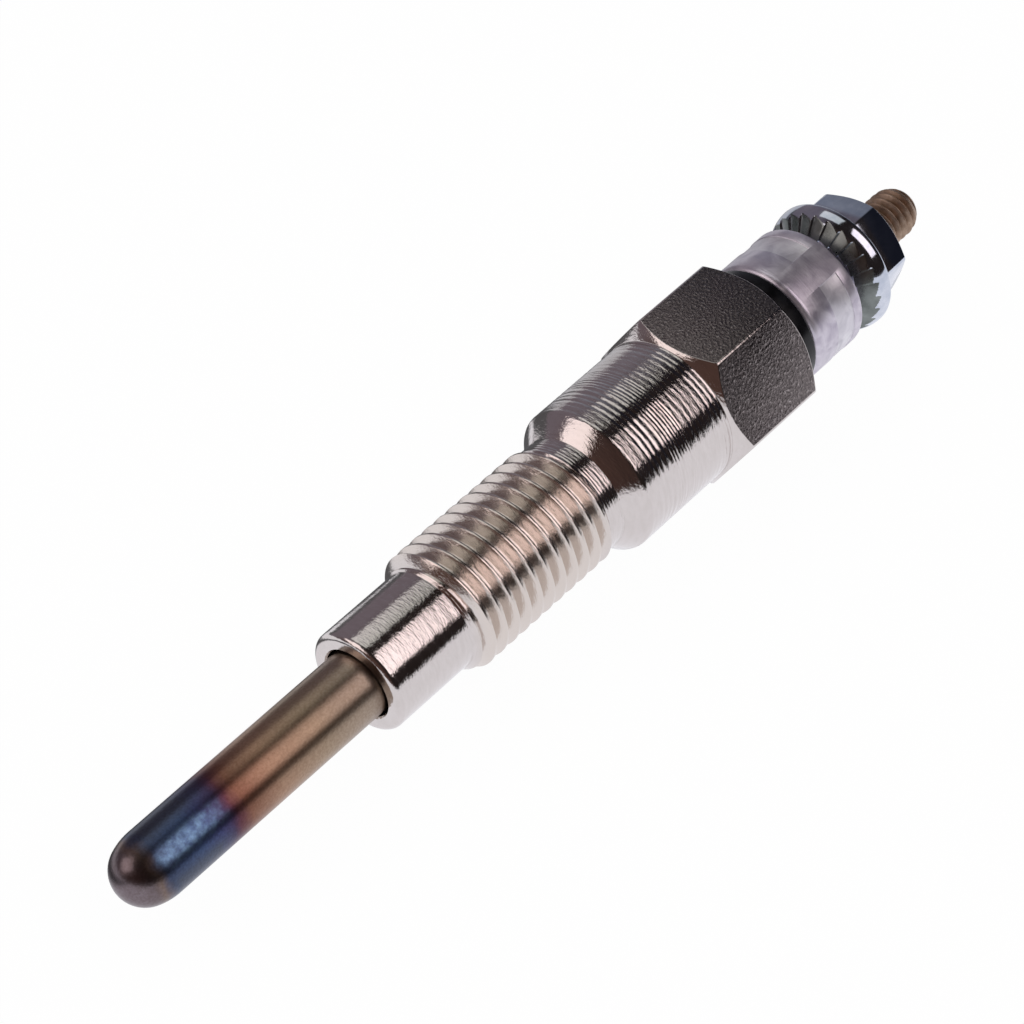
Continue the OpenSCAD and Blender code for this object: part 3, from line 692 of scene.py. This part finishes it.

# Studio: white paper whose mirrored brightness carries painted shade a little behind the plug and painted light
# past it, a bright softbox on the camera's side, a dimmer one behind, a third past the tip, and a dark room.
# Each pair is the start
# and end of a soft edge: in metres on the paper, and as a share of the direction's length in the room. The
# tilts slant some edges on the paper.
studio = {
    "floorSize": 4.0, "paperShare": 0.975, "paperGlow": 1.0, "paperTint": "#f9f9ff",
    "plugShadeEdge": (0.003, 0.009), "inPlugShade": 0.12, "shadeEnd": (0.015, 0.021), "tipLine": (-0.021, -0.017),
    "facePatch": (-0.0245, 0.006, 0), "faceEdge": (0.004, 0.008),
    "seatPatch": (0.0055, 0.0205, 0), "seatEdge": (0.003, 0.005), "seatLine": (0.024, 0.027),
    "seatEnd": (0.0138, 0.0150), "bodyLine": (0.0055, 0.0072), "bodyShade": (0.013, 0.017), "bodyGlow": 0.6,
    "slantTilt": -0.56, "leanTilt": 0.37,
    "roomDark": "#282221", "roomBehind": "#797078", "behindEdge": (0.2, 0.75),
    "endDark": "#1c1d25", "endBehind": "#8d909c", "endEdge": (0.57, 0.63),
    "roomTip": "#57423c", "tipEdge": (-0.3, -0.95), "wallLight": 0.6,
}


def makeFloor():
    clearSelection()
    bpy.ops.mesh.primitive_plane_add(size=studio["floorSize"])
    floor = bpy.context.object
    floor.name = "studioFloor"
    material = bpy.data.materials.new("whitePaper")
    material.use_nodes = True
    tree = material.node_tree
    tree.nodes.clear()
    path = addNode(tree, "LightPath")
    place = addNode(tree, "TexCoord")
    split = addNode(tree, "SeparateXYZ", links={0: place.outputs["Object"]})

    def grade(edge, level, beyond, source):
        settings = {"interpolation_type": "SMOOTHSTEP", "To Min": level, "To Max": beyond,
                    "From Min": studio[edge][0], "From Max": studio[edge][1]}
        return addNode(tree, "MapRange", settings, {"Value": source}).outputs[0]

    def both(first, second, operation="MULTIPLY"):
        return addNode(tree, "Math", {"operation": operation}, {0: first, 1: second}).outputs[0]

    # Mirrored, the paper carries painted shade where the plug's own shade falls, and painted light again past
    # it, most on the tip's side
    glow = studio["paperGlow"]
    x, y = split.outputs["X"], split.outputs["Y"]

    def tilted(tilt):
        return addNode(tree, "Math", {"operation": "MULTIPLY_ADD", 1: studio[tilt]}, {0: y, 2: x}).outputs[0]

    slant, lean = tilted("slantTilt"), tilted("leanTilt")
    level = grade("plugShadeEdge", glow, studio["inPlugShade"], y)
    pastThread = both(grade("tipLine", glow, 0.0, slant), grade("shadeEnd", 0.0, 1.0, y))
    pastSeat = grade("seatLine", 0.0, glow, y)
    tipSide = both(both(pastThread, pastSeat, "MAXIMUM"), grade("seatEnd", 1.0, 0.0, lean))
    pastBody = both(grade("bodyLine", 0.0, studio["bodyGlow"], slant), grade("bodyShade", 0.0, 1.0, y))
    for area in (tipSide, pastBody):
        level = both(level, area, "MAXIMUM")
    # Two painted light patches on the mirrored paper, for the nose's face and the seat to reflect
    for patch, edge in (("facePatch", "faceEdge"), ("seatPatch", "seatEdge")):
        reach = addNode(tree, "VectorMath", {"operation": "DISTANCE", 1: studio[patch]},
                        {0: place.outputs["Object"]})
        level = both(level, grade(edge, glow, 0.0, reach.outputs["Value"]), "MAXIMUM")
    paper = addNode(tree, "BsdfDiffuse", {"Color": linearColour("#f4f4f4")})
    seen = addNode(tree, "Emission", {"Color": (1, 1, 1, 1), "Strength": 1.0})
    mirrored = addNode(tree, "Emission", {"Color": linearColour(studio["paperTint"])}, {"Strength": level})
    through = addNode(tree, "Math", {"operation": "MAXIMUM"},
                      {0: path.outputs["Is Glossy Ray"], 1: path.outputs["Is Transmission Ray"]})
    share = addNode(tree, "Math", {"operation": "MULTIPLY", 1: studio["paperShare"]},
                    {0: path.outputs["Is Camera Ray"]})
    lit = addNode(tree, "MixShader", links={0: share.outputs[0], 1: paper.outputs[0], 2: seen.outputs[0]})
    mix = addNode(tree, "MixShader", links={0: through.outputs[0], 1: lit.outputs[0], 2: mirrored.outputs[0]})
    addNode(tree, "OutputMaterial", links={"Surface": mix.outputs[0]})
    floor.data.materials.append(material)


# A softbox fills a window of directions, in degrees: across from straight up to the camera's side, and along
# the plug. It stands softboxDistance metres away.
softboxDistance = 2.0
softboxes = {
    "keySoftbox": {"across": (12, 60), "along": (2.5, 29.4), "turn": 5, "radiance": 1.75, "tint": "#fff1f2"},
    "fillSoftbox": {"across": (-42, -8), "along": (0, 28.0), "turn": 0, "radiance": 0.76, "tint": "#fbfdf9"},
    "tipSoftbox": {"across": (-64, -16), "along": (-60, -22), "turn": 8, "radiance": 1.3, "tint": "#fff3f1"},
}


def addSoftbox(name, box):
    across, along = [math.radians(sum(box[key]) / 2) for key in ("across", "along")]
    acrossSpan, alongSpan = [math.radians(box[key][1] - box[key][0]) for key in ("across", "along")]
    out = Vector((0, -math.sin(across), math.cos(across)))
    back = Vector((math.sin(along), 0, 0)) + out * math.cos(along)
    side = Vector((math.cos(along), 0, 0)) - out * math.sin(along)
    lamp = bpy.data.lights.new(name, "AREA")
    lamp.shape = "RECTANGLE"
    lamp.size = 2 * softboxDistance * math.tan(alongSpan / 2)
    lamp.size_y = 2 * softboxDistance * math.cos(along) * math.tan(acrossSpan / 2)
    lamp.energy = box["radiance"] * math.pi * lamp.size * lamp.size_y
    lamp.color = linearColour(box["tint"])[:3]
    softbox = bpy.data.objects.new(name, lamp)
    scene.collection.objects.link(softbox)
    facing = Matrix((side, back.cross(side), back)).transposed().to_4x4()
    turned = Matrix.Rotation(math.radians(box["turn"]), 4, "Z")
    softbox.matrix_world = Matrix.Translation(back * softboxDistance) @ facing @ turned


def makeLights():
    for name, box in softboxes.items():
        addSoftbox(name, box)
    world = bpy.data.worlds.new("studioRoom")
    scene.world = world
    world.use_nodes = True
    tree = world.node_tree
    tree.nodes.clear()
    place = addNode(tree, "TexCoord")
    split = addNode(tree, "SeparateXYZ", links={0: place.outputs["Generated"]})

    def reaching(edge, direction):
        return addNode(tree, "MapRange", {"From Min": studio[edge][0], "From Max": studio[edge][1]},
                       {"Value": split.outputs[direction]})

    behind = reaching("behindEdge", "Y")
    tint = addNode(tree, "ValToRGB", {"stops": [(0.0, studio["roomDark"]), (1.0, studio["roomBehind"])]},
                   {"Fac": behind.outputs[0]})
    endTint = addNode(tree, "ValToRGB", {"stops": [(0.0, studio["endDark"]), (1.0, studio["endBehind"])]},
                      {"Fac": behind.outputs[0]})
    nearEnd = reaching("endEdge", "X")
    lengthwise = addNode(tree, "Mix", {"data_type": "RGBA"},
                         {"Factor": nearEnd.outputs[0], "A": tint.outputs[0], "B": endTint.outputs[0]})
    nearTip = reaching("tipEdge", "X")
    walls = addNode(tree, "Mix", {"data_type": "RGBA", "B": linearColour(studio["roomTip"])},
                    {"Factor": nearTip.outputs[0], "A": lengthwise.outputs["Result"]})
    room = addNode(tree, "Background", {"Strength": 1.0}, {"Color": walls.outputs["Result"]})
    white = addNode(tree, "Background", {"Color": (1, 1, 1, 1), "Strength": 1.0})
    soft = addNode(tree, "Background", {"Color": (1, 1, 1, 1), "Strength": studio["wallLight"]})
    path = addNode(tree, "LightPath")
    dull = addNode(tree, "MixShader",
                   links={0: path.outputs["Is Diffuse Ray"], 1: room.outputs[0], 2: soft.outputs[0]})
    mix = addNode(tree, "MixShader",
                  links={0: path.outputs["Is Camera Ray"], 1: dull.outputs[0], 2: white.outputs[0]})
    addNode(tree, "OutputWorld", links={"Surface": mix.outputs[0]})


# The camera looks down at the plug from its tip end, at a station of aimZ mm
camera = {"focalPx": 3450, "imagePx": 1024, "sensorMm": 36, "azimuth": -49.62, "elevation": 45.79,
          "aimZ": -6.4, "aimRight": 17.5, "aimDown": 20.2, "pxPerMm": 14.19}


def makeCamera():
    c = camera
    a, e = math.radians(c["azimuth"]), math.radians(c["elevation"])
    right = Vector((math.cos(a), math.sin(a), 0))
    up = Vector((-math.sin(a) * math.sin(e), math.cos(a) * math.sin(e), math.cos(e)))
    back = Vector((math.sin(a) * math.cos(e), -math.cos(a) * math.cos(e), math.sin(e)))
    aim = seatCentre + plugAxis * c["aimZ"] * mm
    distance = c["focalPx"] / c["pxPerMm"] * mm
    place = aim + distance * (back - right * c["aimRight"] / c["focalPx"] + up * c["aimDown"] / c["focalPx"])
    lens = bpy.data.cameras.new("plugCamera")
    lens.sensor_fit = "HORIZONTAL"
    lens.sensor_width = c["sensorMm"]
    lens.lens = c["focalPx"] / c["imagePx"] * c["sensorMm"]
    lens.clip_start = 0.01
    view = bpy.data.objects.new("plugCamera", lens)
    scene.collection.objects.link(view)
    view.matrix_world = Matrix.Translation(place) @ Matrix((right, up, back)).transposed().to_4x4()
    scene.camera = view


makeFloor()
makeLights()
makeCamera()
scene.view_settings.view_transform = "Standard"
print("studio set")
